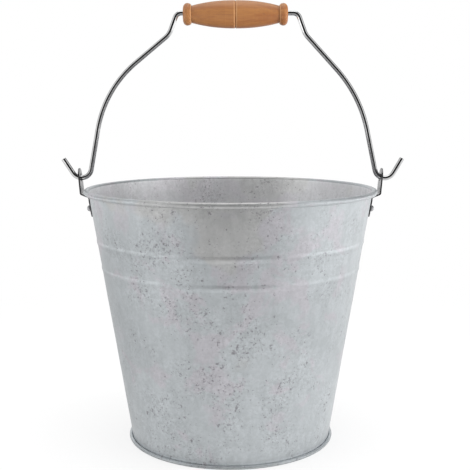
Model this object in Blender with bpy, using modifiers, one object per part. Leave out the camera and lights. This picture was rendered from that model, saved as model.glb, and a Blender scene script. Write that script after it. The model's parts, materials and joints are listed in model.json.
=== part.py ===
"""Galvanised sheet bucket with a wire bail and a turned wooden grip.

Metres, +Z up. The origin is on the floor, at the centre of the bucket's foot. The ears stand at
-X and +X, the wall's seam is at +Y, and the bail is upright in the plane of the ears.
"""

from math import acos, asin, atan2, cos, hypot, pi, radians, sin, tan

import bmesh
import bpy
from mathutils import Vector

# Bucket, measured over its outside
HEIGHT = 0.2565
RIM_RADIUS = 0.147
FOOT_RADIUS = 0.1052
SHEET = 0.0007
CLEARANCE = 0.0003

# Rolled rim: the sheet's top edge curls round a stiffening wire
RIM_WIRE_DIAMETER = 0.0036
CURL_END = radians(-130)

# Folded foot: the pan's edge wraps a flange at the wall's lower edge
FOLD_GAP = 0.0005
FOOT_LAP = 0.0011
WALL_BEND = 0.0010
PAN_RECESS = 0.0060
PAN_BEND = 0.0020

# Two stiffening ribs, pressed outward round the wall, each so far below the rim's top
RIB_DROPS = (0.0519, 0.0786)
RIB_WIDTH = 0.0080
RIB_PROUD = 0.0005

# Lapped seam down the back of the wall
SEAM_WIDTH = 0.0070
SEAM_PROUD = 0.0009
SEAM_MARGIN = 0.0010

# Ears: a strip riveted to the wall, led out under the rim and up to an eye.
# The neck's width is at its foot, from where it narrows up to the round head.
EYE_RISE = 0.01025
EYE_CLEARANCE = 0.0013
EAR_THICKNESS = 0.0015
EAR_HEAD_RADIUS = 0.0095
EAR_NECK_WIDTH = 0.0220
EAR_STANDOFF = 0.0032
EAR_DROP = 0.0030
EAR_LEDGE_TILT = radians(22)
EAR_LEAN = radians(5)
EAR_BEND = 0.0020
EAR_PLATE_WIDTH = 0.0300
EAR_PLATE_BOTTOM_DROP = 0.0285
EAR_PLATE_HEIGHT = 0.0175
EAR_CORNER = 0.0040

# Rivets, two to an ear, with nearly half-round heads
RIVET_RISE = 0.0090
RIVET_SPACING = 0.0220
RIVET_DIAMETER = 0.0034
RIVET_HEAD_RADIUS = 0.0032
RIVET_HEAD_HEIGHT = 0.0030
RIVET_TAIL_RADIUS = 0.0028
RIVET_TAIL_HEIGHT = 0.0009

# Bail, bent from one wire; it has slipped a little to the right in its ears
BAIL_WIRE_DIAMETER = 0.0050
BAIL_RISE = 0.16205
BAIL_SLIP = 0.0020
CRANK_LENGTH = 0.1192
CRANK_SHIFT = 0.0048
CRANK_DROP = 0.0206
CRANK_SPREAD = 0.0077
CRANK_BEND = 0.0065
CRANK_FOOT_BEND = 0.0180
SHOULDER_SPAN_SHARE = 0.840
SHOULDER_RISE_SHARE = 0.523
SHOULDER_LEAN = 0.0033
SHOULDER_BEND = 0.130
HOOK_RADIUS = 0.0100
HOOK_TAIL = 0.0174

# Each hook, bent by hand: its middle's distance past the ear, its sag in the eye, its opening
LEFT_HOOK = (0.0007, 0.0003, radians(57))
RIGHT_HOOK = (0.0018, 0.0006, radians(60))

# Turned wooden grip, loose on the bail's straight top, from which it hangs a little
GRIP_LENGTH = 0.1032
GRIP_SLIP = 0.0029
GRIP_SAG = 0.0012
GRIP_BORE_CLEARANCE = 0.0015
GRIP_BARREL_RADIUS = 0.0136
GRIP_NECK_RADIUS = 0.0083
GRIP_FULLNESS = 2.2
GRIP_COLLAR_RADIUS = 0.01085
GRIP_COLLAR_WIDTH = 0.0083
GRIP_COLLAR_ROUND = 0.0036
GRIP_GROOVE_WIDTH = 0.0012
GRIP_GROOVE_DEPTH = 0.0005

# How far a cutter runs past what it cuts
OVERRUN = 0.0040

# Steps round the turned pieces and along the bends
ROUND_STEPS = 48
EAR_STEPS = 8
EAR_SWEEP = radians(30)
GRIP_STEPS = 28
RIVET_STEPS = 12
CURL_STEPS = 12
BEND_STEPS = 3
SHOULDER_STEPS = 7
RIB_STEPS = 6
HOOK_STEPS = 12
BARREL_STEPS = 7

# Sizes that follow from the ones above
LAP = SHEET + FOLD_GAP
CURL_RADIUS = RIM_WIRE_DIAMETER / 2 + CLEARANCE + SHEET / 2
CURL_CENTRE = (RIM_RADIUS - CURL_RADIUS - SHEET / 2, HEIGHT - CURL_RADIUS - SHEET / 2)
FLANGE_HEIGHT = LAP + SHEET / 2
FOLD_CENTRE = (FOOT_RADIUS - SHEET / 2 - LAP, FLANGE_HEIGHT)
BEND_CENTRE = (FOLD_CENTRE[0] - FOOT_LAP, FLANGE_HEIGHT + WALL_BEND)
PIVOT_HEIGHT = HEIGHT + EYE_RISE
EAR_CORNER_PLACE = (RIM_RADIUS + EAR_STANDOFF, CURL_CENTRE[1] - EAR_DROP)
PIVOT_SPAN = EAR_CORNER_PLACE[0] + (PIVOT_HEIGHT - EAR_CORNER_PLACE[1]) * tan(EAR_LEAN)
EAR_BOTTOM = HEIGHT - EAR_PLATE_BOTTOM_DROP
RIVET_HEIGHT = EAR_BOTTOM + RIVET_RISE
EAR_OFFSET = SHEET / 2 + CLEARANCE + EAR_THICKNESS / 2


def arc(centre, radius, start, end, steps):
    """Points along an arc, from one angle to another."""
    points = []
    for step in range(steps + 1):
        angle = start + (end - start) * step / steps
        points.append((centre[0] + radius * cos(angle), centre[1] + radius * sin(angle)))
    return points


def tangent_angle(low, low_radius, high, high_radius):
    """Direction of the line that touches two circles, both on its right-hand side."""
    across, up = high[0] - low[0], high[1] - low[1]
    return atan2(up, across) + asin((high_radius - low_radius) / hypot(across, up))


def rounded(points, fillets):
    """An open line through points, its inner corners filleted by radii, or radii and steps."""
    line = [points[0]]
    for before, corner, after, fillet in zip(points, points[1:], points[2:], fillets):
        radius, steps = fillet if isinstance(fillet, tuple) else (fillet, BEND_STEPS)
        back = Vector(before) - Vector(corner)
        ahead = Vector(after) - Vector(corner)
        half_angle = back.angle(ahead) / 2
        reach = min(radius / tan(half_angle), back.length / 2, ahead.length / 2)
        radius = reach * tan(half_angle)
        middle = (back.normalized() + ahead.normalized()).normalized()
        centre = Vector(corner) + middle * (radius / sin(half_angle))
        start = Vector(corner) + back.normalized() * reach - centre
        end = Vector(corner) + ahead.normalized() * reach - centre
        first = atan2(start.y, start.x)
        line += arc(centre, radius, first, first - start.angle_signed(end), steps)
    line.append(points[-1])
    return line


WALL_ANGLE = tangent_angle(BEND_CENTRE, WALL_BEND, CURL_CENTRE, CURL_RADIUS)
WALL_OUT = (sin(WALL_ANGLE), -cos(WALL_ANGLE))


def wall_radius(height, offset=0):
    """Radius of the wall's middle surface at a height, moved out along its normal by offset."""
    foot_radius = BEND_CENTRE[0] - WALL_OUT[0] * WALL_BEND
    foot_height = BEND_CENTRE[1] - WALL_OUT[1] * WALL_BEND
    return foot_radius + (height - foot_height) / tan(WALL_ANGLE) + offset / WALL_OUT[0]


def wall_line(top, bottom, offset=0):
    """The wall's section between two heights, ribs included, from top to bottom."""
    line = [(wall_radius(top, offset), top)]
    for drop in RIB_DROPS:
        for step in range(RIB_STEPS + 1):
            share = step / RIB_STEPS
            height = HEIGHT - drop + RIB_WIDTH * (1 / 2 - share)
            bulge = RIB_PROUD * (1 - cos(2 * pi * share)) / 2
            line.append((wall_radius(height, offset + bulge), height))
    line.append((wall_radius(bottom, offset), bottom))
    return line


def collection(name):
    made = bpy.data.collections.new(name)
    bpy.context.scene.collection.children.link(made)
    return made


def clear_scene():
    for obj in list(bpy.data.objects):
        bpy.data.objects.remove(obj)


clear_scene()
BUCKET = collection("zinc_bucket")
CUTTERS = collection("cutters")


def material(name, colour, roughness, metallic):
    made = bpy.data.materials.new(name)
    made.use_nodes = True
    shader = made.node_tree.nodes["Principled BSDF"]
    shader.inputs["Base Color"].default_value = (*colour, 1)
    shader.inputs["Roughness"].default_value = roughness
    shader.inputs["Metallic"].default_value = metallic
    return made


ZINC = material("galvanised_sheet", (0.42, 0.44, 0.47), 0.45, 0.9)
PLAIN_STEEL = material("pressed_steel", (0.25, 0.26, 0.27), 0.40, 1.0)
RIVET_STEEL = material("rivet_steel", (0.55, 0.56, 0.58), 0.35, 1.0)
BRIGHT_WIRE = material("bright_wire", (0.70, 0.70, 0.70), 0.15, 1.0)
WOOD = material("varnished_wood", (0.45, 0.19, 0.07), 0.35, 0.0)


def line_object(name, points, closed=False):
    """A mesh of edges only, drawn in its own XZ plane, for a Screw to turn."""
    mesh = bpy.data.meshes.new(name)
    edges = [(i, i + 1) for i in range(len(points) - 1)]
    if closed:
        edges.append((len(points) - 1, 0))
    mesh.from_pydata([(x, 0, z) for x, z in points], edges, [])
    return bpy.data.objects.new(name, mesh)


def turn(obj, steps, angle=2 * pi):
    screw = obj.modifiers.new("turn", "SCREW")
    screw.angle = angle
    screw.steps = steps
    screw.render_steps = steps
    screw.use_merge_vertices = angle == 2 * pi
    screw.merge_threshold = 0.00001
    screw.use_smooth_shade = True


def thicken(obj, thickness):
    sheet = obj.modifiers.new("sheet", "SOLIDIFY")
    sheet.thickness = thickness
    sheet.offset = 0
    sheet.use_even_offset = True


def combine(obj, other, operation):
    boolean = obj.modifiers.new(other.name, "BOOLEAN")
    boolean.operation = operation
    boolean.solver = "EXACT"
    boolean.object = other


def finish(obj, name, paint):
    obj.name = name
    obj.data.name = name
    obj.data.materials.append(paint)
    BUCKET.objects.link(obj)
    return obj


def as_cutter(obj):
    obj.hide_render = True
    obj.display_type = "WIRE"
    CUTTERS.objects.link(obj)
    return obj


def slab(name, outline, thickness):
    """A flat outline in its own XY plane, filled and given a thickness along its Z, as a mesh."""
    curve = bpy.data.curves.new(name, "CURVE")
    curve.dimensions = "2D"
    curve.fill_mode = "BOTH"
    curve.extrude = thickness / 2
    spline = curve.splines.new("POLY")
    spline.points.add(len(outline) - 1)
    for point, (x, y) in zip(spline.points, outline):
        point.co = (x, y, 0, 1)
    spline.use_cyclic_u = True
    drawn = bpy.data.objects.new(name, curve)
    bpy.context.scene.collection.objects.link(drawn)
    drawn_now = drawn.evaluated_get(bpy.context.evaluated_depsgraph_get())
    mesh = bpy.data.meshes.new_from_object(drawn_now)
    welded = bmesh.new()
    welded.from_mesh(mesh)
    bmesh.ops.remove_doubles(welded, verts=welded.verts, dist=0.000001)
    bmesh.ops.recalc_face_normals(welded, faces=welded.faces)
    welded.to_mesh(mesh)
    welded.free()
    bpy.data.objects.remove(drawn)
    return bpy.data.objects.new(name, mesh)


def rod(name, radius, length):
    """A cylinder along its own Z, centred on its origin."""
    mesh = bpy.data.meshes.new(name)
    shape = bmesh.new()
    bmesh.ops.create_cone(
        shape, cap_ends=True, segments=24, radius1=radius, radius2=radius, depth=length
    )
    shape.to_mesh(mesh)
    shape.free()
    return bpy.data.objects.new(name, mesh)


def wire(name, points, diameter, closed=False):
    """A round wire along points in its own XZ plane."""
    curve = bpy.data.curves.new(name, "CURVE")
    curve.dimensions = "3D"
    curve.bevel_depth = diameter / 2
    curve.bevel_resolution = 2
    curve.use_fill_caps = True
    spline = curve.splines.new("POLY")
    spline.points.add(len(points) - 1)
    for point, place in zip(spline.points, points):
        point.co = (*place, 1)
    spline.use_cyclic_u = closed
    spline.use_smooth = True
    return bpy.data.objects.new(name, curve)


def rivet_places():
    """Name, place and outward direction of each rivet, on the wall's middle surface."""
    radius = wall_radius(RIVET_HEIGHT)
    swing = asin(RIVET_SPACING / 2 / radius)
    for side, facing in (("left", pi), ("right", 0)):
        for end, turned in (("front", -1), ("back", 1)):
            mirrored = turned if facing == 0 else -turned
            angle = facing + mirrored * swing
            place = Vector((radius * cos(angle), radius * sin(angle), RIVET_HEIGHT))
            outward = Vector((WALL_OUT[0] * cos(angle), WALL_OUT[0] * sin(angle), WALL_OUT[1]))
            yield f"{side}_{end}", place, outward


def point_along(obj, place, direction):
    obj.location = place
    obj.rotation_euler = direction.to_track_quat("Z", "Y").to_euler()


def rivet_holes():
    holes = []
    for name, place, outward in rivet_places():
        radius = RIVET_DIAMETER / 2 + CLEARANCE
        hole = as_cutter(rod(f"rivet_hole_{name}", radius, 2 * (EAR_OFFSET + EAR_THICKNESS + OVERRUN)))
        point_along(hole, place, outward)
        holes.append(hole)
    return holes


def seam_strip():
    """The ridge where the sheet's two ends lap, over the ribs as well."""
    top = CURL_CENTRE[1] - CURL_RADIUS - SHEET / 2 - SEAM_MARGIN
    bottom = FLANGE_HEIGHT + LAP + SHEET / 2 + SEAM_MARGIN
    outside = wall_line(top, bottom, SHEET / 2 + SEAM_PROUD)
    inside = wall_line(top, bottom, -SHEET / 4)
    strip = as_cutter(slab("seam_strip", outside + inside[::-1], SEAM_WIDTH))
    strip.rotation_euler = (pi / 2, 0, pi / 2)
    return strip


def bucket_wall(holes):
    """One sheet: curled at the rim, ribbed, and flanged outward at the foot."""
    rise = WALL_ANGLE + pi / 2
    curl = arc(CURL_CENTRE, CURL_RADIUS, CURL_END, rise, CURL_STEPS)
    bend = arc(BEND_CENTRE, WALL_BEND, rise, 3 * pi / 2, BEND_STEPS)
    side = wall_line(curl[-1][1], bend[0][1])
    flange_edge = (FOLD_CENTRE[0], FLANGE_HEIGHT)
    wall = line_object("bucket_wall", curl + side[1:-1] + bend + [flange_edge])
    turn(wall, ROUND_STEPS)
    thicken(wall, SHEET)
    combine(wall, seam_strip(), "UNION")
    for hole in holes:
        combine(wall, hole, "DIFFERENCE")
    return finish(wall, "bucket_wall", ZINC)


def bottom_pan():
    """A dished disc, its edge folded out, round the wall's flange and back over it."""
    fold = arc(FOLD_CENTRE, LAP, pi / 2, -pi / 2, 2 * BEND_STEPS)
    bend = arc(BEND_CENTRE, WALL_BEND + LAP, 3 * pi / 2, WALL_ANGLE + pi / 2, BEND_STEPS)
    disc_height = PAN_RECESS + SHEET / 2
    corner = (wall_radius(disc_height, -LAP), disc_height)
    dish = rounded([bend[-1], corner, (0, disc_height)], [PAN_BEND])
    lap_end = (BEND_CENTRE[0], FOLD_CENTRE[1] + LAP)
    pan = line_object("bottom_pan", [lap_end] + fold + bend + dish[1:])
    turn(pan, ROUND_STEPS)
    thicken(pan, SHEET)
    return finish(pan, "bottom_pan", ZINC)


def rim_wire():
    """The stiffening hoop inside the curl."""
    ring = arc((0, 0), CURL_CENTRE[0], 0, 2 * pi, ROUND_STEPS)[:-1]
    hoop = wire("rim_wire", [(x, y, 0) for x, y in ring], RIM_WIRE_DIAMETER, closed=True)
    hoop.location = (0, 0, CURL_CENTRE[1])
    return finish(hoop, "rim_wire", PLAIN_STEEL)


def ear_outline():
    """The ear's front view, across and up, with a round head on a neck on a wide plate."""
    half_plate, half_neck = EAR_PLATE_WIDTH / 2, EAR_NECK_WIDTH / 2
    plate_top = EAR_BOTTOM + EAR_PLATE_HEIGHT
    neck_rise = PIVOT_HEIGHT - plate_top
    meeting = acos(EAR_HEAD_RADIUS / hypot(half_neck, neck_rise)) - atan2(neck_rise, half_neck)
    head = arc((0, PIVOT_HEIGHT), EAR_HEAD_RADIUS, meeting, pi / 2, 2 * BEND_STEPS)
    corners = [
        (0, EAR_BOTTOM),
        (half_plate, EAR_BOTTOM),
        (half_plate, plate_top),
        (half_neck, plate_top),
        head[0],
    ]
    low = rounded(corners, [EAR_CORNER, EAR_CORNER, EAR_BEND])
    half = low[:-1] + head
    mirrored = [(-across, up) for across, up in half[-2:0:-1]]
    return half + mirrored


def ear_line():
    """The strip's section at its middle, from past the head down to past the plate."""
    corner_across, corner_up = EAR_CORNER_PLACE
    top = PIVOT_HEIGHT + EAR_HEAD_RADIUS + OVERRUN
    top_place = (corner_across + (top - corner_up) * tan(EAR_LEAN), top)
    slope = tan(EAR_LEDGE_TILT)
    wall_slope = 1 / tan(WALL_ANGLE)
    level = wall_radius(corner_up, EAR_OFFSET)
    drop = (corner_across - level) * slope / (1 - slope * wall_slope)
    wall_corner = (wall_radius(corner_up - drop, EAR_OFFSET), corner_up - drop)
    bottom = EAR_BOTTOM - OVERRUN
    bottom_place = (wall_radius(bottom, EAR_OFFSET), bottom)
    return rounded([top_place, EAR_CORNER_PLACE, wall_corner, bottom_place], [EAR_BEND, EAR_BEND])


def ears(holes):
    """Left and right ears, cut to one outline and drilled by one line through both eyes."""
    across = 2 * (PIVOT_SPAN + EAR_HEAD_RADIUS)
    outline = as_cutter(slab("ear_outline", ear_outline(), across))
    outline.rotation_euler = (pi / 2, 0, pi / 2)
    eye = as_cutter(rod("ear_eyes", BAIL_WIRE_DIAMETER / 2 + EYE_CLEARANCE, across))
    point_along(eye, (0, 0, PIVOT_HEIGHT), Vector((1, 0, 0)))
    for side, facing in (("left", pi), ("right", 0)):
        ear = line_object(f"{side}_ear", ear_line())
        ear.rotation_euler = (0, 0, facing - EAR_SWEEP / 2)
        turn(ear, EAR_STEPS, EAR_SWEEP)
        thicken(ear, EAR_THICKNESS)
        combine(ear, outline, "INTERSECT")
        combine(ear, eye, "DIFFERENCE")
        for hole in holes:
            if hole.name.startswith(f"rivet_hole_{side}"):
                combine(ear, hole, "DIFFERENCE")
        finish(ear, f"{side}_ear", PLAIN_STEEL)


def dome(edge, height, seat, facing):
    """A rivet head's section: from its top, in the direction it faces, to its rim."""
    radius = (edge**2 + height**2) / (2 * height)
    half = asin(min(1, edge / radius))
    centre = (0, seat + facing * (height - radius))
    return arc(centre, radius, facing * pi / 2, facing * (pi / 2 - half), BEND_STEPS)


def rivets():
    """Domed outside the ear, closed by a flatter head inside the wall."""
    facet = wall_radius(RIVET_HEIGHT) * (1 - cos(pi / ROUND_STEPS))
    head_seat = EAR_OFFSET + EAR_THICKNESS / 2 + CLEARANCE
    tail_seat = -(SHEET / 2 + facet + CLEARANCE)
    shank = RIVET_DIAMETER / 2
    head = dome(RIVET_HEAD_RADIUS, RIVET_HEAD_HEIGHT, head_seat, 1)
    tail = dome(RIVET_TAIL_RADIUS, RIVET_TAIL_HEIGHT, tail_seat, -1)
    profile = head + [(shank, head_seat), (shank, tail_seat)] + tail[::-1]
    for name, place, outward in rivet_places():
        rivet = line_object(f"rivet_{name}", profile)
        turn(rivet, RIVET_STEPS)
        point_along(rivet, place, outward)
        finish(rivet, f"rivet_{name}", RIVET_STEEL)


def bail_side(side):
    """Half the bail, from the middle of its top to its hook's tip, from the pivot's line.

    Side is -1 on the left and 1 on the right, and sideways distances are taken outward.
    """
    slip = side * BAIL_SLIP
    shift = slip + side * CRANK_SHIFT
    half_crank = CRANK_LENGTH / 2
    outset, sag, opening = LEFT_HOOK if side < 0 else RIGHT_HOOK
    hook_centre = (PIVOT_SPAN + outset + slip, HOOK_RADIUS - sag)
    shoulder = (
        PIVOT_SPAN * SHOULDER_SPAN_SHARE + slip,
        BAIL_RISE * SHOULDER_RISE_SHARE - side * SHOULDER_LEAN,
    )
    across, down = hook_centre[0] - shoulder[0], hook_centre[1] - shoulder[1]
    heading = atan2(down, across) - asin(HOOK_RADIUS / hypot(across, down))
    hook = arc(hook_centre, HOOK_RADIUS, heading - pi / 2, opening - pi / 2, HOOK_STEPS)
    tip = (
        hook[-1][0] + HOOK_TAIL * cos(opening),
        hook[-1][1] + HOOK_TAIL * sin(opening),
    )
    corners = [
        (side * (BAIL_SLIP + CRANK_SHIFT), BAIL_RISE),
        (half_crank + shift, BAIL_RISE),
        (half_crank + CRANK_SPREAD + shift, BAIL_RISE - CRANK_DROP),
        shoulder,
        hook[0],
    ]
    route = rounded(corners, [CRANK_BEND, CRANK_FOOT_BEND, (SHOULDER_BEND, SHOULDER_STEPS)])
    return [(side * out, 0, up) for out, up in route + hook[1:] + [tip]]


def bail_wire(pivot):
    left, right = bail_side(-1), bail_side(1)
    bail = wire("bail_wire", left[:0:-1] + right, BAIL_WIRE_DIAMETER)
    bail.parent = pivot
    return finish(bail, "bail_wire", BRIGHT_WIRE)


def grip_half():
    """The grip's section from its right end to its middle: radius, then distance along."""
    half = GRIP_LENGTH / 2
    bore = BAIL_WIRE_DIAMETER / 2 + GRIP_BORE_CLEARANCE
    collar_end = half - GRIP_COLLAR_WIDTH
    collar = rounded(
        [
            (bore, half),
            (GRIP_COLLAR_RADIUS, half),
            (GRIP_COLLAR_RADIUS, collar_end),
            (GRIP_NECK_RADIUS, collar_end),
        ],
        [GRIP_COLLAR_ROUND, GRIP_COLLAR_ROUND],
    )
    swell = GRIP_BARREL_RADIUS - GRIP_NECK_RADIUS
    groove = GRIP_GROOVE_WIDTH / 2
    barrel = []
    for step in range(1, BARREL_STEPS + 1):
        along = collar_end + (groove - collar_end) * step / BARREL_STEPS
        share = along / collar_end
        barrel.append((GRIP_BARREL_RADIUS - swell * share**GRIP_FULLNESS, along))
    return collar + barrel


def wooden_grip(pivot):
    half = grip_half()
    bottom = (GRIP_BARREL_RADIUS - GRIP_GROOVE_DEPTH, 0)
    other_half = [(radius, -along) for radius, along in half[::-1]]
    grip = line_object("wooden_grip", half + [bottom] + other_half, closed=True)
    grip.rotation_euler = (0, pi / 2, 0)
    grip.location = (BAIL_SLIP + GRIP_SLIP, 0, BAIL_RISE - GRIP_SAG)
    grip.parent = pivot
    turn(grip, GRIP_STEPS)
    return finish(grip, "wooden_grip", WOOD)


def bail_pivot():
    pivot = bpy.data.objects.new("bail_pivot", None)
    pivot.location = (0, 0, PIVOT_HEIGHT)
    BUCKET.objects.link(pivot)
    return pivot


def build():
    holes = rivet_holes()
    bucket_wall(holes)
    bottom_pan()
    rim_wire()
    ears(holes)
    rivets()
    pivot = bail_pivot()
    bail_wire(pivot)
    wooden_grip(pivot)


build()
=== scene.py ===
"""The zinc bucket dressed for a studio photograph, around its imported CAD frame.

Metres, +Z up, in the frame of the CAD model. The camera looks along +Y at the bucket's front.
"""

import json
from math import acos, asin, atan2, cos, hypot, pi, radians, sin, tan

import bmesh
import bpy
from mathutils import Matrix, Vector, noise


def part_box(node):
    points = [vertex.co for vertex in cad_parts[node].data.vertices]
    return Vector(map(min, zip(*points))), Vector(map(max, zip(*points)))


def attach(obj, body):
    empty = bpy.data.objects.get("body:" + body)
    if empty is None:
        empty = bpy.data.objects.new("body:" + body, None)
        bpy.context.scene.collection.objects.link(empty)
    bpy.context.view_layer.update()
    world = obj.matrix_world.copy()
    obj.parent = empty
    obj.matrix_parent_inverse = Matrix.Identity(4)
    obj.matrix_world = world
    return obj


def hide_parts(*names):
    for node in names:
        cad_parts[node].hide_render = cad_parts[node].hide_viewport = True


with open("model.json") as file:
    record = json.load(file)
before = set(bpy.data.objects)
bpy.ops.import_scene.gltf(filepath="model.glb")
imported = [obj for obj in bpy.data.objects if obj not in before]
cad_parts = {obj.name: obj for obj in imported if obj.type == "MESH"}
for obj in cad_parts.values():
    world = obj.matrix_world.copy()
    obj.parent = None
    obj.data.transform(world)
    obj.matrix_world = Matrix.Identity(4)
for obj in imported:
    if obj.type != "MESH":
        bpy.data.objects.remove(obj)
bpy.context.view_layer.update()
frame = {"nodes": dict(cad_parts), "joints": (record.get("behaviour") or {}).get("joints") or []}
NODES = frame["nodes"]
JOINTS = {joint["name"]: joint for joint in frame["joints"]}

# Sizes read from the frame
RIM_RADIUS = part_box("bucket_wall")[1][0]
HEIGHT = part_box("bucket_wall")[1][2]
FOOT_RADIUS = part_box("bottom_pan")[1][0]
PIVOT_HEIGHT = JOINTS["bail_swing"]["pos_m"][2]
GRIP_CENTRE = Vector(JOINTS["grip_spin"]["pos_m"])
GRIP_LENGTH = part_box("wooden_grip")[1][0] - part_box("wooden_grip")[0][0]

# Sheet, as in the CAD
SHEET = 0.0007
CLEARANCE = 0.0003
RIM_WIRE_DIAMETER = 0.0036
CURL_END = radians(-130)
FOLD_GAP = 0.0005
FOOT_LAP = 0.0011
WALL_BEND = 0.0010
PAN_RECESS = 0.0060
PAN_BEND = 0.0020
RIB_DROPS = (0.0519, 0.0786)
RIB_WIDTH = 0.0080
RIB_PROUD = 0.0005
SEAM_WIDTH = 0.0070
SEAM_PROUD = 0.0009
SEAM_MARGIN = 0.0010

# The seam's soft edges, and how far it shows on the inside
SEAM_EDGE = 0.0005
INNER_SEAM_DEPTH = 0.00015

# Ears and rivets, as in the CAD
EYE_RADIUS = 0.0038
EAR_THICKNESS = 0.0015
EAR_HEAD_RADIUS = 0.0095
EAR_NECK_WIDTH = 0.0220
EAR_STANDOFF = 0.0032
EAR_DROP = 0.0030
EAR_LEDGE_TILT = radians(22)
EAR_LEAN = radians(5)
EAR_BEND = 0.0020
EAR_PLATE_WIDTH = 0.0300
EAR_PLATE_BOTTOM_DROP = 0.0285
EAR_PLATE_HEIGHT = 0.0175
EAR_CORNER = 0.0040
RIVET_RISE = 0.0090
RIVET_SPACING = 0.0220
RIVET_DIAMETER = 0.0034
RIVET_HEAD_RADIUS = 0.0032
RIVET_HEAD_HEIGHT = 0.0030
RIVET_TAIL_RADIUS = 0.0028
RIVET_TAIL_HEIGHT = 0.0009

# The rounding of the ears' edges
EAR_EDGE = 0.00035

# Bail, as in the CAD
BAIL_WIRE_RADIUS = 0.0025
BAIL_SLIP = 0.0020
CRANK_LENGTH = 0.1192
CRANK_SHIFT = 0.0048
CRANK_DROP = 0.0206
CRANK_SPREAD = 0.0077
CRANK_BEND = 0.0065
CRANK_FOOT_BEND = 0.0180
SHOULDER_SPAN_SHARE = 0.840
SHOULDER_RISE_SHARE = 0.523
SHOULDER_LEAN = 0.0033
SHOULDER_BEND = 0.130
HOOK_RADIUS = 0.0100
HOOK_TAIL = 0.0174
LEFT_HOOK = (0.0007, 0.0003, radians(57))
RIGHT_HOOK = (0.0018, 0.0006, radians(60))

# The rounding of the wire's cut ends
TIP_ROUND = 0.0006

# Grip, as in the CAD
GRIP_SAG = 0.0012
GRIP_BORE_RADIUS = 0.0040
GRIP_BARREL_RADIUS = 0.0136
GRIP_NECK_RADIUS = 0.0083
GRIP_FULLNESS = 2.2
GRIP_COLLAR_RADIUS = 0.01085
GRIP_COLLAR_WIDTH = 0.0083
GRIP_GROOVE_WIDTH = 0.0012
GRIP_GROOVE_DEPTH = 0.0005

# The grip's finer form: how far from its end a collar is widest, the radius of its flat end
# face, the width of the lines beside it, and the chamfer of the bore
GRIP_COLLAR_CROWN = 0.0042
GRIP_COLLAR_FACE_RADIUS = 0.0060
GRIP_LINE = 0.0012
BORE_CHAMFER = 0.0006

# Hand-rolled sheet is never quite true: how far it strays and over what distance, how much
# finer and weaker its second wave is, and over what heights the waves come in above the foot,
# below the rim and below the ears
WALL_STRAY = 0.00022
WALL_STRAY_SPAN = 0.055
SECOND_WAVE = (2.3, 0.45)
FOOT_FADE = (0.004, 0.016)
RIM_FADE = (0.008, 0.020)
EAR_FADE = 0.020

# Lamps: name, place, what it points at, its two sides, its power, and whether metal mirrors it
SOFTBOXES = (
    ("right_softbox", (1.5, -0.55, 0.24), (0, 0, 0.13), (1.6, 0.30), 23, False),
    ("left_softbox", (-1.7, -0.9, 0.75), (0, 0, 0.15), (1.2, 1.4), 7, False),
    ("top_softbox", (0, 0.1, 2.0), (0, 0, 0.2), (1.6, 1.6), 11, True),
)

# What metal sees of the room, in degrees from the camera's side: low down, higher up, and
# overhead, each with the heights of a direction between which it takes over from the one before
LOW_TONES = (
    (-180, 1.0),
    (-140, 1.0),
    (-112, 0.50),
    (-98, 0.60),
    (-86, 1.20),
    (-56, 1.15),
    (-45, 0.02),
    (0, 0.01),
    (50, 0.02),
    (62, 1.15),
    (84, 1.05),
    (104, 0.70),
    (140, 1.0),
    (180, 1.0),
)
HIGH_TONES = (
    (-180, 1.0),
    (-140, 1.0),
    (-112, 0.34),
    (-98, 0.60),
    (-86, 1.30),
    (-54, 1.15),
    (-43, 0.02),
    (0, 0.01),
    (50, 0.02),
    (62, 1.50),
    (84, 1.38),
    (104, 0.20),
    (142, 0.05),
    (162, 1.0),
    (180, 1.0),
)
CEILING_TONES = ((-180, 0.45), (180, 0.45))
ROOM_TONES = (((-1, -1), LOW_TONES), ((0.06, 0.20), HIGH_TONES), ((0.75, 0.95), CEILING_TONES))

# Level of the room's even light on everything
ROOM_LIGHT = 0.85

# The floor: its size, how white it is as a source of light, the share of its white that a
# shadow can take, and the distances between which it turns plain white
FLOOR_SIZE = 8
FLOOR_WHITE = 0.80
SHADOW_SHARE = 0.28
SHADOW_FADE = (0.20, 0.75)

# What metal sees of the floor, in the same way, but by the distance from the bucket's middle
# Right by the foot metal sees the floor darker: a painted shadow in the floor's reflection
FOOT_SHADOW_TONES = ((-180, 0.60), (180, 0.60))
NEAR_TONES = (
    (-180, 0.9),
    (-110, 0.85),
    (-60, 1.12),
    (0, 1.15),
    (60, 1.0),
    (110, 1.1),
    (180, 1.0),
)
MIDDLE_TONES = (
    (-180, 0.9),
    (-110, 0.72),
    (-60, 1.21),
    (-45, 1.10),
    (-25, 0.55),
    (0, 0.42),
    (20, 0.50),
    (42, 0.85),
    (62, 1.05),
    (115, 1.15),
    (180, 1.0),
)
FAR_TONES = (
    (-180, 1.0),
    (-140, 1.0),
    (-120, 2.4),
    (-60, 2.9),
    (-37, 2.6),
    (-29, 0.16),
    (0, 0.14),
    (36, 0.16),
    (44, 2.2),
    (60, 3.0),
    (120, 3.0),
    (140, 1.0),
    (180, 1.0),
)
FLOOR_TONES = (
    ((0, 0), FOOT_SHADOW_TONES),
    ((0.106, 0.113), NEAR_TONES),
    ((0.30, 0.60), MIDDLE_TONES),
    ((1.10, 1.60), FAR_TONES),
)

# A noise is given as its scale and detail, and its roughness where that isn't 0.5. Its values
# lie mostly between the first two numbers, and nearly all between the other two.
CORE = (0.4, 0.6)
WIDE = (0.3, 0.7)

# Zinc: its patches of colour outside and inside, how much brighter the inside is painted, as
# painted light against the shade in the bucket, and how metallic the two are
OUTSIDE_TINTS = ((0.430, 0.424, 0.450, 1), (0.41, 0.435, 0.45, 1), (0.428, 0.431, 0.430, 1))
INSIDE_TINTS = ((0.435, 0.430, 0.445, 1), (0.430, 0.433, 0.443, 1), (0.428, 0.431, 0.430, 1))
INSIDE_PAINTED_LIGHT = 1.54
OUTSIDE_METALLIC = 0.62
INSIDE_METALLIC = 0.42

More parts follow.
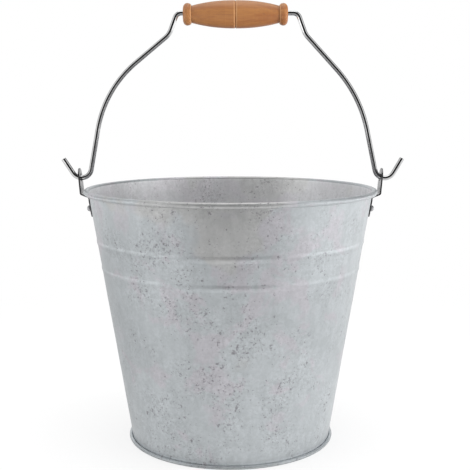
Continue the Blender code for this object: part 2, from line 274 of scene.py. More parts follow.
# The noise that parts lavender from cool grey and the one that parts both from plain grey,
# and the values of each between which the colour changes
PATCHES = (26, 4, 0.6)
PATCH_WARP = 0.6
PATCH_EDGES = (0.39, 0.47)
PLAIN = (15, 3)
PLAIN_EDGES = (0.54, 0.62)

# Lavender and plain grey keep to the middle and the top: what is added to each noise for every
# metre sideways and every metre up, and at the foot's middle
LAVENDER_LEAN = (1.0, -0.5, 0.0)
PLAIN_LEAN = (-2.4, 2.2, -0.33)

# Spangle: the size of its flakes, and how finely and how far their edges are shaken
FLAKE_SCALE = 130
SHAKE_SCALE = 240
SHAKE_REACH = 0.0028

# Streaks down the wall and wide clouds, and how far flakes, streaks and clouds change the tone
STREAK_STRETCH = (140, 140, 22)
STREAKS = (1, 4, 0.6)
CLOUDS = (11, 3, 0.55)
FLAKE_TONES = (0.965, 1.035)
STREAK_TONES = (0.972, 1.028)
CLOUD_TONES = (0.96, 1.04)

# Clusters of specks: their noise, where it is read, which sets their places, the values between
# which a cluster fills, and what is added to the specks' noise in none and in a full one, and
# for every metre away from the middle
CLUSTERS = (24, 4, 0.65)
CLUSTER_SHIFT = (1.3, 0.4, 0.2)
CLUSTER_EDGES = (0.42, 0.62)
CLUSTER_GAIN = (0.002, 0.095)
SPECK_FALL = -0.25

# Specks: two sizes of them, each with the values of its noise between which it darkens
SPECKS = (((230, 3, 0.6), (0.67, 0.75)), ((430, 3, 0.6), (0.665, 0.735)))
SPECK_STRENGTH = 0.75
SPECK_COLOUR = (0.210, 0.200, 0.215, 1)

# Fine grain, and how far it changes the tone between the clusters and in them
GRAIN = (340, 5, 0.75)
GRAIN_TONES = (0.04, 0.11)

# Zinc's dull and bright spots, how much rougher a speck is, and the relief: its noise, how
# strongly that and the flakes tell, and its depth
DULLING = (60, 3)
DULLNESS = (0.36, 0.46)
SPECK_DULLNESS = 0.2
RELIEF = (700, 3, 0.6)
RELIEF_SHARE = 0.5
FLAKE_SHARE = 2
RELIEF_DEPTH = 0.00006

# The bead round the rim is painted brighter than the wall: a painted highlight
BEAD_HEIGHT = 0.0048
BEAD_PAINTED_HIGHLIGHT = 1.04

# How far below the rim the inside's brighter paint, its painted light, ends in the bead, and from
# how much of its normal upward a face lies flat enough to have that paint too
CREST_DROP = 0.0024
FLAT_FROM = 0.3

# Painted light in the crease above the folded foot, lifting the shade there: the heights where it
# starts, is fullest and ends, and how much brighter it is
CREASE_LIGHT = (0.0026, 0.0031, 0.0062)
CREASE_LIGHT_GAIN = 0.42

# Plated metals: the noise of their clouds with its two edges and two greys, the noise of their
# dull spots with its two roughnesses, the noise and depth of any relief, and how metallic
PLATED = {
    "dark_steel": {
        "clouds": (160, 4, 0.6),
        "edges": WIDE,
        "greys": ((0.11, 0.11, 0.113, 1), (0.18, 0.18, 0.184, 1)),
        "spots": (400, 3),
        "dullness": (0.18, 0.28),
        "relief": (900, 3),
        "depth": 0.00004,
        "metallic": 1.0,
    },
    "rivet_metal": {
        "clouds": (350, 3),
        "edges": WIDE,
        "greys": ((0.30, 0.30, 0.31, 1), (0.45, 0.45, 0.465, 1)),
        "spots": (600, 2),
        "dullness": (0.30, 0.45),
        "relief": (800, 2),
        "depth": 0.00005,
        "metallic": 0.9,
    },
    "plated_wire": {
        "clouds": (120, 4, 0.6),
        "edges": (0.35, 0.65),
        "greys": ((0.51, 0.51, 0.515, 1), (0.62, 0.62, 0.62, 1)),
        "spots": (90, 3),
        "dullness": (0.09, 0.14),
        "metallic": 1.0,
    },
}

# Wood's bands, fibres, pores and turning marks: how each is drawn out on each axis, its noise,
# the values between which it shows, how strongly, and its colours
BAND_STRETCH = (110, 110, 9)
BANDS = (1, 4, 0.6)
BAND_WARP = 0.4
BAND_EDGES = (0.34, 0.66)
BAND_COLOURS = ((0.395, 0.168, 0.050, 1), (0.305, 0.108, 0.029, 1))
FIBRE_STRETCH = (900, 900, 26)
FIBRES = (1, 3, 0.7)
FIBRE_EDGES = (0.50, 0.80)
FIBRE_COLOUR = (0.27, 0.105, 0.04, 1)
PORE_STRETCH = (700, 700, 60)
PORE_EDGES = (0.08, 0.22)
PORE_STRENGTH = 0.45
PORE_COLOUR = (0.20, 0.08, 0.035, 1)
MARK_STRETCH = (14, 14, 900)
MARKS = (1, 3, 0.6)
MARK_TONES = (0.95, 1.05)

# Lines on the grip, each with its strength and colour: a dark line beside each collar, and a
# painted highlight on the collars' inner edges and beside the groove
DARK_LINE = (0.55, (0.16, 0.065, 0.025, 1))
PAINTED_HIGHLIGHT_LINE = (0.5, (0.72, 0.42, 0.20, 1))

# Varnish: the wood's roughness under it, the depth of fibres and pores, its weight and roughness
WOOD_DULLNESS = (0.44, 0.54)
WOOD_DEPTH = 0.00005
VARNISH_WEIGHT = 0.12
VARNISH_DULLNESS = 0.35

# Fineness of the meshes
ROUND_STEPS = 240
SEAM_STEPS = 28
LINE_STEP = 0.0040
RIB_STEPS = 16
CURL_STEPS = 30
BEND_STEPS = 8
EYE_STEPS = 40
EAR_EDGE_STEPS = 2
EAR_SLICES = 12
RIVET_HOLE_STEPS = 20
RIVET_STEPS = 32
CRANK_STEPS = 12
SHOULDER_STEPS = 24
HOOK_STEPS = 24
TIP_STEPS = 5
WIRE_SIDES = 24
GRIP_STEPS = 96
COLLAR_STEPS = 10
BARREL_STEPS = 40
GROOVE_STEPS = 6

# How far from the seam's middle the steps are closer, in widths of the seam
SEAM_REACH = 0.75

# A sheet's rounded edge stands out by so much of half its thickness, and at a corner of its
# middle line the half thickness is divided by no less than this
NOSE_SHARE = 0.7
LEAST_CORNER = 0.5

# Points nearer to one another than this are joined, and an ear's edges are sharp from this angle
WELD = 0.000002
SHARP_FROM = radians(35)

# Sizes that follow from the ones above
LAP = SHEET + FOLD_GAP
CURL_RADIUS = RIM_WIRE_DIAMETER / 2 + CLEARANCE + SHEET / 2
CURL_CENTRE = (RIM_RADIUS - CURL_RADIUS - SHEET / 2, HEIGHT - CURL_RADIUS - SHEET / 2)
FLANGE_HEIGHT = LAP + SHEET / 2
FOLD_CENTRE = (FOOT_RADIUS - SHEET / 2 - LAP, FLANGE_HEIGHT)
BEND_CENTRE = (FOLD_CENTRE[0] - FOOT_LAP, FLANGE_HEIGHT + WALL_BEND)
EAR_CORNER_PLACE = (RIM_RADIUS + EAR_STANDOFF, CURL_CENTRE[1] - EAR_DROP)
PIVOT_SPAN = EAR_CORNER_PLACE[0] + (PIVOT_HEIGHT - EAR_CORNER_PLACE[1]) * tan(EAR_LEAN)
EAR_BOTTOM = HEIGHT - EAR_PLATE_BOTTOM_DROP
EAR_PLATE_TOP = EAR_BOTTOM + EAR_PLATE_HEIGHT
RIVET_HEIGHT = EAR_BOTTOM + RIVET_RISE
EAR_OFFSET = SHEET / 2 + CLEARANCE + EAR_THICKNESS / 2


def arc(centre, radius, start, end, steps):
    """Points along an arc, from one angle to another."""
    points = []
    for step in range(steps + 1):
        angle = start + (end - start) * step / steps
        points.append((centre[0] + radius * cos(angle), centre[1] + radius * sin(angle)))
    return points


def tangent_angle(low, low_radius, high, high_radius):
    """Direction of the line that touches two circles, both on its right-hand side."""
    across, up = high[0] - low[0], high[1] - low[1]
    return atan2(up, across) + asin((high_radius - low_radius) / hypot(across, up))


def rounded(points, fillets):
    """An open line through points, its inner corners filleted by radii, or radii and steps."""
    line = [points[0]]
    for before, corner, after, fillet in zip(points, points[1:], points[2:], fillets):
        radius, steps = fillet if isinstance(fillet, tuple) else (fillet, BEND_STEPS)
        back = Vector(before) - Vector(corner)
        ahead = Vector(after) - Vector(corner)
        half_angle = back.angle(ahead) / 2
        reach = min(radius / tan(half_angle), back.length / 2, ahead.length / 2)
        radius = reach * tan(half_angle)
        middle = (back.normalized() + ahead.normalized()).normalized()
        centre = Vector(corner) + middle * (radius / sin(half_angle))
        start = Vector(corner) + back.normalized() * reach - centre
        end = Vector(corner) + ahead.normalized() * reach - centre
        first = atan2(start.y, start.x)
        line += arc(centre, radius, first, first - start.angle_signed(end), steps)
    line.append(points[-1])
    return line


def resampled(line, step):
    """The line with points added so that no stretch is longer than step."""
    fine = [line[0]]
    for start, end in zip(line, line[1:]):
        count = max(1, round(hypot(end[0] - start[0], end[1] - start[1]) / step))
        for part in range(1, count + 1):
            share = part / count
            fine.append(tuple(a + (b - a) * share for a, b in zip(start, end)))
    return fine


WALL_ANGLE = tangent_angle(BEND_CENTRE, WALL_BEND, CURL_CENTRE, CURL_RADIUS)
WALL_OUT = (sin(WALL_ANGLE), -cos(WALL_ANGLE))


def wall_radius(height, offset=0):
    """Radius of the wall's middle surface at a height, moved out along its normal by offset."""
    foot_radius = BEND_CENTRE[0] - WALL_OUT[0] * WALL_BEND
    foot_height = BEND_CENTRE[1] - WALL_OUT[1] * WALL_BEND
    return foot_radius + (height - foot_height) / tan(WALL_ANGLE) + offset / WALL_OUT[0]


def wall_line(top, bottom):
    """The wall's section between two heights, ribs included, from top to bottom."""
    line = [(wall_radius(top), top)]
    for drop in RIB_DROPS:
        for step in range(RIB_STEPS + 1):
            share = step / RIB_STEPS
            height = HEIGHT - drop + RIB_WIDTH * (1 / 2 - share)
            bulge = RIB_PROUD * (1 - cos(2 * pi * share)) / 2
            line.append((wall_radius(height, bulge), height))
    line.append((wall_radius(bottom), bottom))
    return resampled(line, LINE_STEP)


def smooth_share(value, low, high):
    """0 below low, 1 above high, and an easy slope between."""
    share = min(1, max(0, (value - low) / (high - low)))
    return share * share * (3 - 2 * share)


def sheet_loop(middle, thickness):
    """The closed section of a sheet round its middle line, with rounded edges.

    Each point is (radius, height, side), where side is 1 to the left of the line and -1 to
    its right.
    """
    half = thickness / 2
    ways = [(Vector(b) - Vector(a)).normalized() for a, b in zip(middle, middle[1:])]
    sides = []
    for index, place in enumerate(middle):
        before = ways[max(0, index - 1)]
        after = ways[min(len(ways) - 1, index)]
        along = (before + after).normalized()
        stretch = half / max(LEAST_CORNER, along.dot(after))
        sides.append(Vector((-along.y, along.x)) * stretch)
    left = [(*(Vector(p) + s), 1) for p, s in zip(middle, sides)]
    right = [(*(Vector(p) - s), -1) for p, s in zip(middle, sides)]
    nose = half * NOSE_SHARE
    end_cap = [(*(Vector(middle[-1]) + ways[-1] * nose), 0)]
    start_cap = [(*(Vector(middle[0]) - ways[0] * nose), 0)]
    return left + end_cap + right[::-1] + start_cap


def mesh_object(name, places, faces):
    """A smooth object of the given points and faces."""
    mesh = bpy.data.meshes.new(name)
    mesh.from_pydata(places, [], faces)
    tidy = bmesh.new()
    tidy.from_mesh(mesh)
    bmesh.ops.remove_doubles(tidy, verts=tidy.verts, dist=WELD)
    bmesh.ops.recalc_face_normals(tidy, faces=tidy.faces)
    tidy.to_mesh(mesh)
    tidy.free()
    mesh.shade_smooth()
    made = bpy.data.objects.new(name, mesh)
    bpy.context.scene.collection.objects.link(made)
    return made


def revolve(name, loop, angles, closed=True, shift=None):
    """A section turned about Z through the given angles, each vertex moved out by shift."""
    places = []
    for angle in angles:
        for point in loop:
            radius, height = point[:2]
            if shift:
                radius += shift(angle, *point)
            places.append((radius * cos(angle), radius * sin(angle), height))
    count, rings = len(loop), len(angles)
    spans = count if closed else count - 1
    faces = []
    for ring in range(rings):
        near, far = ring * count, (ring + 1) % rings * count
        for index in range(spans):
            after = (index + 1) % count
            faces.append((near + index, far + index, far + after, near + after))
    return mesh_object(name, places, faces)


def even_angles(steps):
    return [2 * pi * step / steps for step in range(steps)]


def seam_angles():
    """Even steps round the wall, with closer ones across the seam at the back."""
    reach = SEAM_REACH * SEAM_WIDTH / FOOT_RADIUS
    angles = [a for a in even_angles(ROUND_STEPS) if abs(a - pi / 2) > reach]
    angles += [pi / 2 + reach * (2 * step / SEAM_STEPS - 1) for step in range(SEAM_STEPS + 1)]
    return sorted(angles)


def stray(angle, height):
    """How far the wall strays from a true cone, fading out at the rim, the foot and the ears."""
    place = Vector((cos(angle), sin(angle), 0)) * RIM_RADIUS / WALL_STRAY_SPAN
    place.z = height / WALL_STRAY_SPAN
    finer, weaker = SECOND_WAVE
    wave = noise.noise(place) + weaker * noise.noise(place * finer)
    ends = smooth_share(height, *FOOT_FADE) * smooth_share(HEIGHT - height, *RIM_FADE)
    across = abs(sin(angle)) * wall_radius(height)
    near_ear = smooth_share(height, EAR_BOTTOM - EAR_FADE, EAR_BOTTOM)
    near_ear *= 1 - smooth_share(across, EAR_PLATE_WIDTH / 2, EAR_PLATE_WIDTH)
    return WALL_STRAY * wave * ends * (1 - near_ear)


def wall_shift(angle, radius, height, side):
    """The wall's waviness, and its lapped seam at the back."""
    shift = stray(angle, height)
    across = abs(angle - pi / 2) * wall_radius(height)
    over = 1 - smooth_share(across, SEAM_WIDTH / 2 - SEAM_EDGE, SEAM_WIDTH / 2 + SEAM_EDGE)
    top = CURL_CENTRE[1] - CURL_RADIUS - SHEET / 2 - SEAM_MARGIN
    bottom = FLANGE_HEIGHT + LAP + SHEET / 2 + SEAM_MARGIN
    within = smooth_share(height, bottom, bottom + 2 * SEAM_EDGE)
    within *= 1 - smooth_share(height, top - 2 * SEAM_EDGE, top)
    proud = SEAM_PROUD if side > 0 else -INNER_SEAM_DEPTH
    return shift + proud * over * within


def bucket_wall():
    rise = WALL_ANGLE + pi / 2
    curl = arc(CURL_CENTRE, CURL_RADIUS, CURL_END, rise, CURL_STEPS)
    bend = arc(BEND_CENTRE, WALL_BEND, rise, 3 * pi / 2, BEND_STEPS)
    side = wall_line(curl[-1][1], bend[0][1])
    flange_edge = (FOLD_CENTRE[0], FLANGE_HEIGHT)
    middle = curl + side[1:-1] + bend + [flange_edge]
    loop = sheet_loop(middle, SHEET)
    wall = revolve("wall_sheet", loop, seam_angles(), shift=wall_shift)
    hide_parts("bucket_wall")
    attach(wall, "bucket")
    return wall


def bottom_pan():
    fold = arc(FOLD_CENTRE, LAP, pi / 2, -pi / 2, 2 * BEND_STEPS)
    bend = arc(BEND_CENTRE, WALL_BEND + LAP, 3 * pi / 2, WALL_ANGLE + pi / 2, BEND_STEPS)
    disc_height = PAN_RECESS + SHEET / 2
    corner = (wall_radius(disc_height, -LAP), disc_height)
    dish = rounded([bend[-1], corner, (SHEET, disc_height)], [PAN_BEND])
    lap_end = (BEND_CENTRE[0], FOLD_CENTRE[1] + LAP)
    middle = [lap_end] + fold + bend + resampled(dish[1:], LINE_STEP)
    section = opened_at_axis(sheet_loop(middle, SHEET))
    pan = revolve("pan_sheet", section, even_angles(ROUND_STEPS), closed=False)
    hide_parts("bottom_pan")
    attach(pan, "bucket")
    return pan


def opened_at_axis(loop):
    """A disc's loop opened at its middle, so that both its faces run to the axis."""
    middle = next(index for index, point in enumerate(loop) if point[2] == 0)
    before, after = loop[:middle], loop[middle + 1 :]
    first = (0, *before[-1][1:])
    last = (0, *after[0][1:])
    return [last] + after + before + [first]


def ear_outline(inset):
    """The ear's blank, across and up, drawn in by inset for its rounded edge."""
    half_plate, half_neck = EAR_PLATE_WIDTH / 2 - inset, EAR_NECK_WIDTH / 2 - inset
    bottom, plate_top = EAR_BOTTOM + inset, EAR_PLATE_TOP - inset
    head = EAR_HEAD_RADIUS - inset
    neck_rise = PIVOT_HEIGHT - plate_top
    meeting = acos(head / hypot(half_neck, neck_rise)) - atan2(neck_rise, half_neck)
    top = arc((0, PIVOT_HEIGHT), head, meeting, pi / 2, 3 * BEND_STEPS)
    corners = [
        (0, bottom),
        (half_plate, bottom),
        (half_plate, plate_top),
        (half_neck, plate_top),
        top[0],
    ]
    low = rounded(corners, [EAR_CORNER, EAR_CORNER, EAR_BEND])
    half = low[:-1] + top
    mirrored = [(-across, up) for across, up in half[-2:0:-1]]
    return half + mirrored


def ear_line():
    """The strip's middle line from bottom to top, as (distance out, height)."""
    corner_across, corner_up = EAR_CORNER_PLACE
    top = PIVOT_HEIGHT + EAR_HEAD_RADIUS
    top_place = (corner_across + (top - corner_up) * tan(EAR_LEAN), top)
    slope = tan(EAR_LEDGE_TILT)
    level = wall_radius(corner_up, EAR_OFFSET)
    drop = (corner_across - level) * slope / (1 - slope / tan(WALL_ANGLE))
    wall_corner = (wall_radius(corner_up - drop, EAR_OFFSET), corner_up - drop)
    bottom_place = (wall_radius(EAR_BOTTOM, EAR_OFFSET), EAR_BOTTOM)
    return rounded([bottom_place, wall_corner, EAR_CORNER_PLACE, top_place], [EAR_BEND, EAR_BEND])


def add_outline(curve, outline):
    """Adds a closed outline to a flat curve."""
    spline = curve.splines.new("POLY")
    spline.points.add(len(outline) - 1)
    for point, (x, y) in zip(spline.points, outline):
        point.co = (x, y, 0, 1)
    spline.use_cyclic_u = True


def ear_blank(name):
    """The flat blank as a mesh: outline, eye and two rivet holes, with rounded edges."""
    curve = bpy.data.curves.new(name, "CURVE")
    curve.dimensions = "2D"
    curve.fill_mode = "BOTH"
    curve.extrude = EAR_THICKNESS / 2 - EAR_EDGE
    curve.bevel_depth = EAR_EDGE
    curve.bevel_resolution = EAR_EDGE_STEPS
    add_outline(curve, ear_outline(EAR_EDGE))
    add_outline(curve, arc((0, PIVOT_HEIGHT), EYE_RADIUS + EAR_EDGE, 0, 2 * pi, EYE_STEPS)[:-1])
    for side in (-1, 1):
        centre = (side * RIVET_SPACING / 2, RIVET_HEIGHT)
        hole = RIVET_DIAMETER / 2 + CLEARANCE + EAR_EDGE
        add_outline(curve, arc(centre, hole, 0, 2 * pi, RIVET_HOLE_STEPS)[:-1])
    drawn = bpy.data.objects.new(name, curve)
    bpy.context.scene.collection.objects.link(drawn)
    drawn_now = drawn.evaluated_get(bpy.context.evaluated_depsgraph_get())
    mesh = bpy.data.meshes.new_from_object(drawn_now)
    bpy.data.objects.remove(drawn)
    return mesh


def slice_mesh(shape, place, normal):
    """Cuts the faces along a plane, so that they can be bent there."""
    everything = shape.verts[:] + shape.edges[:] + shape.faces[:]
    bmesh.ops.bisect_plane(shape, geom=everything, plane_co=place, plane_no=normal)


def bend_ear(shape, facing):
    """Bends the flat blank along the strip's line, and its plate round the wall."""
    line = ear_line()
    heights = [up for out, up in line]
    for height in heights[1:-1]:
        slice_mesh(shape, (0, height, 0), (0, 1, 0))
    for step in range(1, EAR_SLICES):
        across = EAR_PLATE_WIDTH * (step - EAR_SLICES // 2) / EAR_SLICES
        slice_mesh(shape, (across, 0, 0), (1, 0, 0))
    for vert in shape.verts:
        across, up, thick = vert.co
        index = max(i for i in range(len(line) - 1) if heights[i] <= up or i == 0)
        (out_low, low), (out_high, high) = line[index], line[index + 1]
        share = (up - low) / (high - low)
        out = out_low + (out_high - out_low) * share
        along = Vector((out_high - out_low, high - low)).normalized()
        normal = Vector((along.y, -along.x))
        round_wall = 1 - smooth_share(up, EAR_PLATE_TOP - EAR_BEND, EAR_CORNER_PLACE[1])
        radius = wall_radius(up, EAR_OFFSET) + thick
        sag = radius - (radius * radius - across * across) ** 0.5
        x = out + normal.x * thick - sag * round_wall
        z = up + normal.y * thick
        vert.co = (x * facing, across * facing, z)


def ears():
    made = []
    for side, facing in (("left", -1), ("right", 1)):
        mesh = ear_blank(f"{side}_ear_plate")
        shape = bmesh.new()
        shape.from_mesh(mesh)
        bmesh.ops.remove_doubles(shape, verts=shape.verts, dist=WELD)
        bend_ear(shape, facing)
        bmesh.ops.recalc_face_normals(shape, faces=shape.faces)
        shape.to_mesh(mesh)
        shape.free()
        mesh.shade_smooth()
        mesh.set_sharp_from_angle(angle=SHARP_FROM)
        ear = bpy.data.objects.new(f"{side}_ear_plate", mesh)
        bpy.context.scene.collection.objects.link(ear)
        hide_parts(f"{side}_ear")
        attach(ear, "bucket")
        made.append(ear)
    return made


def rivet_profile():
    """A domed head, the shank, and a flatter head inside, from the outside inward."""
    head_seat = EAR_OFFSET + EAR_THICKNESS / 2
    tail_seat = -SHEET / 2 - CLEARANCE
    shank = RIVET_DIAMETER / 2
    head = []
    tail = []
    for step in range(BEND_STEPS + 1):
        angle = pi / 2 * step / BEND_STEPS
        head.append((RIVET_HEAD_RADIUS * sin(angle), head_seat + RIVET_HEAD_HEIGHT * cos(angle)))
        tail.append((RIVET_TAIL_RADIUS * sin(angle), tail_seat - RIVET_TAIL_HEIGHT * cos(angle)))
    return head + [(shank, head_seat), (shank, tail_seat)] + tail[::-1]


def rivets():
    made = []
    profile = rivet_profile()
    swing = asin(RIVET_SPACING / 2 / wall_radius(RIVET_HEIGHT))
    for side, facing in (("left", pi), ("right", 0)):
        for end, turned in (("front", -1), ("back", 1)):
            angle = facing + (turned if facing == 0 else -turned) * swing
            radius = wall_radius(RIVET_HEIGHT)
            rivet = revolve(f"{side}_{end}_rivet", profile, even_angles(RIVET_STEPS), closed=False)
            outward = Vector((WALL_OUT[0] * cos(angle), WALL_OUT[0] * sin(angle), WALL_OUT[1]))
            rivet.location = (radius * cos(angle), radius * sin(angle), RIVET_HEIGHT)
            rivet.rotation_euler = outward.to_track_quat("Z", "Y").to_euler()
            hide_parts(f"rivet_{side}_{end}")
            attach(rivet, "bucket")
            made.append(rivet)
    return made


def bail_side(side):
    """Half the bail, from the middle of its top to its hook's tip, from the pivot's line."""
    rise = GRIP_CENTRE.z + GRIP_SAG - PIVOT_HEIGHT
    slip = side * BAIL_SLIP
    shift = slip + side * CRANK_SHIFT
    half_crank = CRANK_LENGTH / 2
    outset, sag, opening = LEFT_HOOK if side < 0 else RIGHT_HOOK
    hook_centre = (PIVOT_SPAN + outset + slip, HOOK_RADIUS - sag)
    shoulder = (
        PIVOT_SPAN * SHOULDER_SPAN_SHARE + slip,
        rise * SHOULDER_RISE_SHARE - side * SHOULDER_LEAN,
    )
    across, down = hook_centre[0] - shoulder[0], hook_centre[1] - shoulder[1]
    heading = atan2(down, across) - asin(HOOK_RADIUS / hypot(across, down))
    hook = arc(hook_centre, HOOK_RADIUS, heading - pi / 2, opening - pi / 2, HOOK_STEPS)
    end = hook[-1]
    tip = (end[0] + HOOK_TAIL * cos(opening), end[1] + HOOK_TAIL * sin(opening))
    corners = [
        (side * (BAIL_SLIP + CRANK_SHIFT), rise),
        (half_crank + shift, rise),
        (half_crank + CRANK_SPREAD + shift, rise - CRANK_DROP),
        shoulder,
        hook[0],
    ]
    fillets = [(CRANK_BEND, CRANK_STEPS), CRANK_FOOT_BEND, (SHOULDER_BEND, SHOULDER_STEPS)]
    return [(side * out, 0, up) for out, up in rounded(corners, fillets) + hook[1:] + [tip]]


def rounded_end(tip, inward):
    """The rings of the wire's cut end, from full width to the tip: middle and radius."""
    rings = []
    for step in range(TIP_STEPS):
        angle = pi / 2 * step / TIP_STEPS
        inset = TIP_ROUND * (1 - sin(angle))
        rings.append((tip + inward * inset, BAIL_WIRE_RADIUS - TIP_ROUND * (1 - cos(angle))))
    return rings


def bail():
    """A round rod swept along the bail's line, with its two cut ends rounded off."""
    left, right = bail_side(-1), bail_side(1)
    line = [Vector(place) for place in left[:0:-1] + right]
    line = [place for index, place in enumerate(line) if index == 0 or place != line[index - 1]]
    ways = [(b - a).normalized() for a, b in zip(line, line[1:])]
    rings = [(place, ways[0], radius) for place, radius in rounded_end(line[0], ways[0])]
    rings.reverse()
    for place, before, after in zip(line[1:-1], ways, ways[1:]):
        rings.append((place, (before + after).normalized(), BAIL_WIRE_RADIUS))
    rings += [(place, ways[-1], radius) for place, radius in rounded_end(line[-1], -ways[-1])]
    places = []
    faces = []
    for place, along, radius in rings:
        side = Vector((-along.z, 0, along.x))
        for step in range(WIRE_SIDES):
            angle = 2 * pi * step / WIRE_SIDES
            spot = place + side * (radius * cos(angle)) + Vector((0, radius * sin(angle), 0))
            places.append(spot + Vector((0, 0, PIVOT_HEIGHT)))
    for ring in range(len(rings) - 1):
        for step in range(WIRE_SIDES):
            first, second = ring * WIRE_SIDES + step, ring * WIRE_SIDES + (step + 1) % WIRE_SIDES
            faces.append((first, second, second + WIRE_SIDES, first + WIRE_SIDES))
    faces.append(tuple(range(WIRE_SIDES)))
    faces.append(tuple(range((len(rings) - 1) * WIRE_SIDES, len(rings) * WIRE_SIDES)))
    rod = mesh_object("bail_rod", places, faces)
    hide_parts("bail_wire")
    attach(rod, "bail")
    return rod


def swelling(low_radius, low_along, high_radius, high_along):
    """A quarter of an oval that rises from one radius to another, along the grip."""
    points = []
    for step in range(COLLAR_STEPS + 1):
        angle = pi / 2 * step / COLLAR_STEPS
        radius = low_radius + (high_radius - low_radius) * sin(angle)
        points.append((radius, high_along + (low_along - high_along) * cos(angle)))
    return points


def grip_half():
    """The grip's section from its right end to its middle: radius, then distance along."""
    half = GRIP_LENGTH / 2
    collar_end = half - GRIP_COLLAR_WIDTH
    crown = half - GRIP_COLLAR_CROWN
    collar = [(GRIP_BORE_RADIUS, half - BORE_CHAMFER), (GRIP_BORE_RADIUS + BORE_CHAMFER, half)]
    collar += swelling(GRIP_COLLAR_FACE_RADIUS, half, GRIP_COLLAR_RADIUS, crown)
    collar += swelling(GRIP_NECK_RADIUS, collar_end, GRIP_COLLAR_RADIUS, crown)[-2::-1]
    swell = GRIP_BARREL_RADIUS - GRIP_NECK_RADIUS
    groove = GRIP_GROOVE_WIDTH / 2
    barrel = []
    for step in range(1, BARREL_STEPS + 1):
        along = collar_end + (groove - collar_end) * step / BARREL_STEPS
        share = along / collar_end
        barrel.append((GRIP_BARREL_RADIUS - swell * share**GRIP_FULLNESS, along))
    cut = []
    for step in range(1, GROOVE_STEPS):
        angle = pi / 2 * step / GROOVE_STEPS
        depth = GRIP_GROOVE_DEPTH * sin(angle)
        cut.append((GRIP_BARREL_RADIUS - depth, groove * cos(angle)))
    return collar + barrel + cut


def grip():
    half = grip_half()
    bottom = (GRIP_BARREL_RADIUS - GRIP_GROOVE_DEPTH, 0)
    loop = half + [bottom] + [(radius, -along) for radius, along in half[::-1]]
    handle = revolve("turned_grip", loop, even_angles(GRIP_STEPS))
    handle.rotation_euler = (0, pi / 2, 0)
    handle.location = GRIP_CENTRE
    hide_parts("wooden_grip")
    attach(handle, "grip")
    return handle


# Where a Mix node of colours has its factor, its two colours and its result
MIX_SOCKETS = (0, 6, 7, 2)


class Nodes:
    """Short calls for the nodes of one tree."""

    def __init__(self, tree):
        self.tree = tree

    def add(self, kind, settings=None, **inputs):
        made = self.tree.nodes.new(kind)
        for key, value in (settings or {}).items():
            setattr(made, key, value)
        for key, value in inputs.items():
            self.feed(made.inputs[key.replace("_", " ")], value)
        return made

    def feed(self, socket, value):
        if isinstance(value, bpy.types.NodeSocket):
            self.tree.links.new(value, socket)
        else:
            socket.default_value = value

    def span(self, value, low, high, to_low=0, to_high=1, smooth=False):
        made = self.add(
            "ShaderNodeMapRange",
            {"interpolation_type": "SMOOTHSTEP" if smooth else "LINEAR"},
            Value=value,
            From_Min=low,
            From_Max=high,
            To_Min=to_low,
            To_Max=to_high,
        )
        return made.outputs["Result"]

    def maths(self, operation, first, second):
        made = self.add("ShaderNodeMath", {"operation": operation})
        self.feed(made.inputs[0], first)
        self.feed(made.inputs[1], second)
        return made.outputs["Value"]

    def product(self, *factors):
        result = factors[0]
        for factor in factors[1:]:
            result = self.maths("MULTIPLY", result, factor)
        return result

    def between(self, share, first, second):
        """A number that goes from first to second as share goes from 0 to 1."""
        made = self.add("ShaderNodeMix", {"data_type": "FLOAT"})

        # The second socket is the factor of vectors
        for socket, value in zip(made.inputs, (share, None, first, second)):
            if value is not None:
                self.feed(socket, value)
        return made.outputs[0]

    def compass(self, place, stops):
        """A value by the direction seen from above, in degrees: 0 is the camera's side."""
        axes = self.add("ShaderNodeSeparateXYZ", Vector=place)
        towards = self.maths("MULTIPLY", axes.outputs["Y"], -1)
        angle = self.maths("ARCTAN2", axes.outputs["X"], towards)
        ramp = self.add("ShaderNodeValToRGB", Fac=self.span(angle, -pi, pi))

        # A new ramp already has its first and its last mark
        marks = ramp.color_ramp.elements
        for index, (degrees, value) in enumerate(stops):
            share = (degrees + 180) / 360
            if index == 0:
                mark = marks[0]
            elif index == len(stops) - 1:
                mark = marks[-1]
            else:
                mark = marks.new(share)
            mark.position = share
            mark.color = (value, value, value, 1)
        return ramp.outputs["Color"]

    def rings(self, value, place, tones):
        """Values by direction that take over from one another as the given value rises."""
        result = self.compass(place, tones[0][1])
        for edges, stops in tones[1:]:
            share = self.span(value, *edges, smooth=True)
            result = self.between(share, result, self.compass(place, stops))
        return result

    def shown(self, *kinds):
        """1 on rays of the given kinds, and 0 on all others."""
        path = self.add("ShaderNodeLightPath")
        found = path.outputs[f"Is {kinds[0]} Ray"]
        for kind in kinds[1:]:
            found = self.maths("MAXIMUM", found, path.outputs[f"Is {kind} Ray"])
        return found


